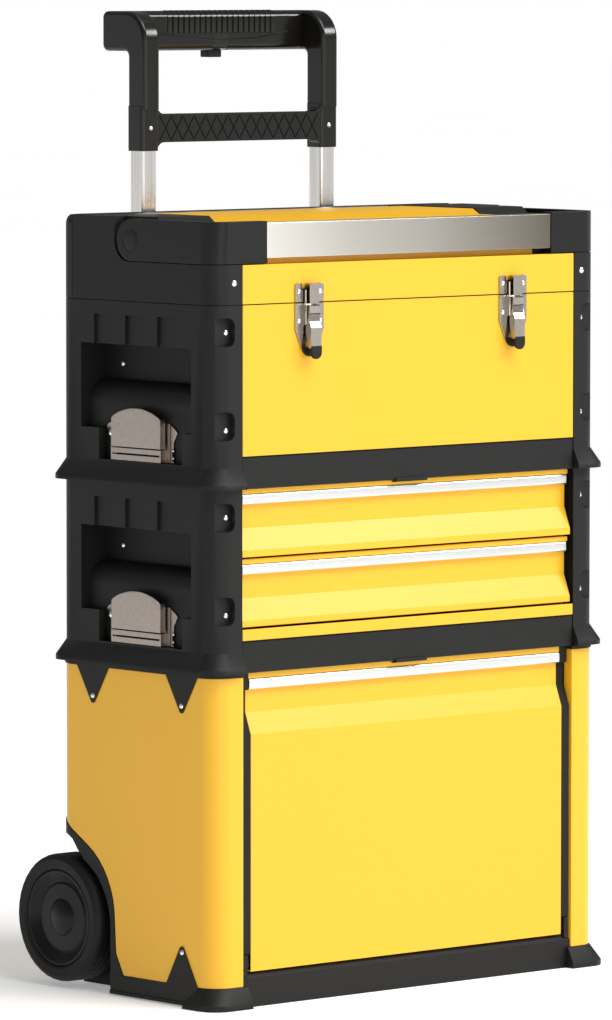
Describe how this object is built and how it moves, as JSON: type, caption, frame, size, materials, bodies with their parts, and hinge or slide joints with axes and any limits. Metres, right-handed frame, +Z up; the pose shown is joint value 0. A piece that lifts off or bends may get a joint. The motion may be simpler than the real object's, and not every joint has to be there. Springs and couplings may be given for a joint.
{
  "type": "rolling tool box",
  "caption": "Upright rolling tool box in stacked modules: wheeled tilting bin, drawer cabinet and lidded box, with a telescopic pull handle.",
  "frame": {"origin": "on the ground under the middle of the box that bounds the part", "axes": "+X towards the right wheel as seen from the front, +Y to the back where the pull handle is, +Z up"},
  "size_m": [0.5504, 0.344, 1.0005],
  "materials": {
    "yellow": "semi-gloss",
    "black": "matte, finely textured",
    "gloss": "satin gloss",
    "steel": "brushed",
    "aluminium": "satin",
    "rubber": "matte"
  },
  "bodies": {
    "chassis": {"bottom_shell": "yellow", "base_tub": "black", "bottom_top_frame": "black", "axle": "steel", "outer_tube_frame": "steel", "tube_bracket_upper": "black", "tube_bracket_lower": "black"},
    "wheel_left": {"tyre_left": "rubber", "wheel_hub_left": "black"},
    "wheel_right": {"tyre_right": "rubber", "wheel_hub_right": "black"},
    "pull_handle": {"inner_tube_left": "aluminium", "inner_tube_right": "aluminium", "handle_crossbar": "gloss", "handle_grip": "gloss"},
    "handle_button": {"release_button": "black"},
    "bin": {"bin_bucket": "black", "bin_door": "yellow", "bin_pull": "aluminium"},
    "bin_lock": {"bin_catch": "black"},
    "cabinet": {"cabinet_shell": "yellow", "middle_end_cap_left": "black", "middle_end_cap_right": "black", "middle_base_tray": "black", "slide_plate_left": "steel", "slide_plate_right": "steel", "middle_latch_bracket_left": "steel", "middle_latch_bracket_right": "steel"},
    "upper_drawer": {"upper_drawer_tray": "black", "upper_drawer_front": "yellow", "upper_drawer_pull": "aluminium"},
    "drawer_lock": {"drawer_catch": "black"},
    "lower_drawer": {"lower_drawer_tray": "black", "lower_drawer_front": "yellow", "lower_drawer_pull": "aluminium"},
    "cabinet_latch_left": {"middle_latch_lever_left": "steel"},
    "cabinet_latch_right": {"middle_latch_lever_right": "steel"},
    "box": {"top_shell": "yellow", "top_end_cap_left": "black", "top_end_cap_right": "black", "top_base_tray": "black", "top_latch_bracket_left": "steel", "top_latch_bracket_right": "steel", "draw_latch_base_left": "steel", "draw_latch_base_right": "steel", "hinge_rail": "black", "hinge_leaf_and_pin": "steel"},
    "box_latch_left": {"top_latch_lever_left": "steel"},
    "box_latch_right": {"top_latch_lever_right": "steel"},
    "lid": {"lid_panel": "yellow", "lid_end_cap_left": "black", "lid_end_cap_right": "black", "hinge_leaf_lid": "steel", "draw_latch_strike_left": "steel", "draw_latch_strike_right": "steel"},
    "carry_handle": {"carry_handle_arm_left": "gloss", "carry_handle_arm_right": "gloss", "carry_handle_bar": "steel"},
    "draw_lever_left": {"draw_latch_lever_left": "steel"},
    "draw_lever_right": {"draw_latch_lever_right": "steel"}
  },
  "joints": [
    {"name": "wheel_left_spin", "type": "hinge", "parent": "chassis", "child": "wheel_left", "pos_m": [-0.2534, 0.08, 0.072], "axis": [1, 0, 0], "continuous": true},
    {"name": "wheel_right_spin", "type": "hinge", "parent": "chassis", "child": "wheel_right", "pos_m": [0.2534, 0.08, 0.072], "axis": [1, 0, 0], "continuous": true},
    {"name": "handle_extend", "type": "slide", "parent": "chassis", "child": "pull_handle", "axis": [0, 0, 1], "range_m": [-0.105, 0.3]},
    {"name": "handle_button_press", "type": "slide", "parent": "pull_handle", "child": "handle_button", "axis": [0, 0, 1], "range_m": [0, 0.004], "stiffness_N_per_m": 400, "springref_m": -0.002},
    {"name": "bin_tilt", "type": "hinge", "parent": "chassis", "child": "bin", "pos_m": [0, -0.1535, 0.0425], "axis": [1, 0, 0], "range_deg": [0, 45]},
    {"name": "bin_lock_press", "type": "slide", "parent": "bin", "child": "bin_lock", "axis": [0, 0, -1], "range_m": [0, 0.002], "stiffness_N_per_m": 400, "springref_m": -0.002},
    {"name": "cabinet_lift", "type": "slide", "parent": "chassis", "child": "cabinet", "axis": [0, 0, 1], "range_m": [0, 0.05]},
    {"name": "upper_drawer_slide", "type": "slide", "parent": "cabinet", "child": "upper_drawer", "axis": [0, -1, 0], "range_m": [0, 0.18]},
    {"name": "lower_drawer_slide", "type": "slide", "parent": "cabinet", "child": "lower_drawer", "axis": [0, -1, 0], "range_m": [0, 0.18]},
    {"name": "drawer_lock_press", "type": "slide", "parent": "upper_drawer", "child": "drawer_lock", "axis": [0, 0, -1], "range_m": [0, 0.002], "stiffness_N_per_m": 400, "springref_m": -0.002},
    {"name": "box_lift", "type": "slide", "parent": "cabinet", "child": "box", "axis": [0, 0, 1], "range_m": [0, 0.05]},
    {"name": "cabinet_latch_left_swing", "type": "hinge", "parent": "cabinet", "child": "cabinet_latch_left", "pos_m": [-0.2639, -0.0372, 0.3773], "axis": [0, -1, 0], "range_deg": [0, 75]},
    {"name": "box_latch_left_swing", "type": "hinge", "parent": "box", "child": "box_latch_left", "pos_m": [-0.2639, -0.0372, 0.563], "axis": [0, -1, 0], "range_deg": [0, 75]},
    {"name": "draw_lever_left_swing", "type": "hinge", "parent": "box", "child": "draw_lever_left", "pos_m": [-0.14035, -0.168, 0.7045], "axis": [-1, 0, 0], "range_deg": [0, 100]},
    {"name": "cabinet_latch_right_swing", "type": "hinge", "parent": "cabinet", "child": "cabinet_latch_right", "pos_m": [0.2639, -0.0372, 0.3773], "axis": [0, 1, 0], "range_deg": [0, 75]},
    {"name": "box_latch_right_swing", "type": "hinge", "parent": "box", "child": "box_latch_right", "pos_m": [0.2639, -0.0372, 0.563], "axis": [0, 1, 0], "range_deg": [0, 75]},
    {"name": "draw_lever_right_swing", "type": "hinge", "parent": "box", "child": "draw_lever_right", "pos_m": [0.14035, -0.168, 0.7045], "axis": [-1, 0, 0], "range_deg": [0, 100]},
    {"name": "lid_open", "type": "hinge", "parent": "box", "child": "lid", "pos_m": [0, 0.06535, 0.7914], "axis": [-1, 0, 0], "range_deg": [0, 95]},
    {"name": "carry_handle_raise", "type": "hinge", "parent": "lid", "child": "carry_handle", "pos_m": [0, -0.0294, 0.7716], "axis": [1, 0, 0], "range_deg": [-90, 0]}
  ]
}
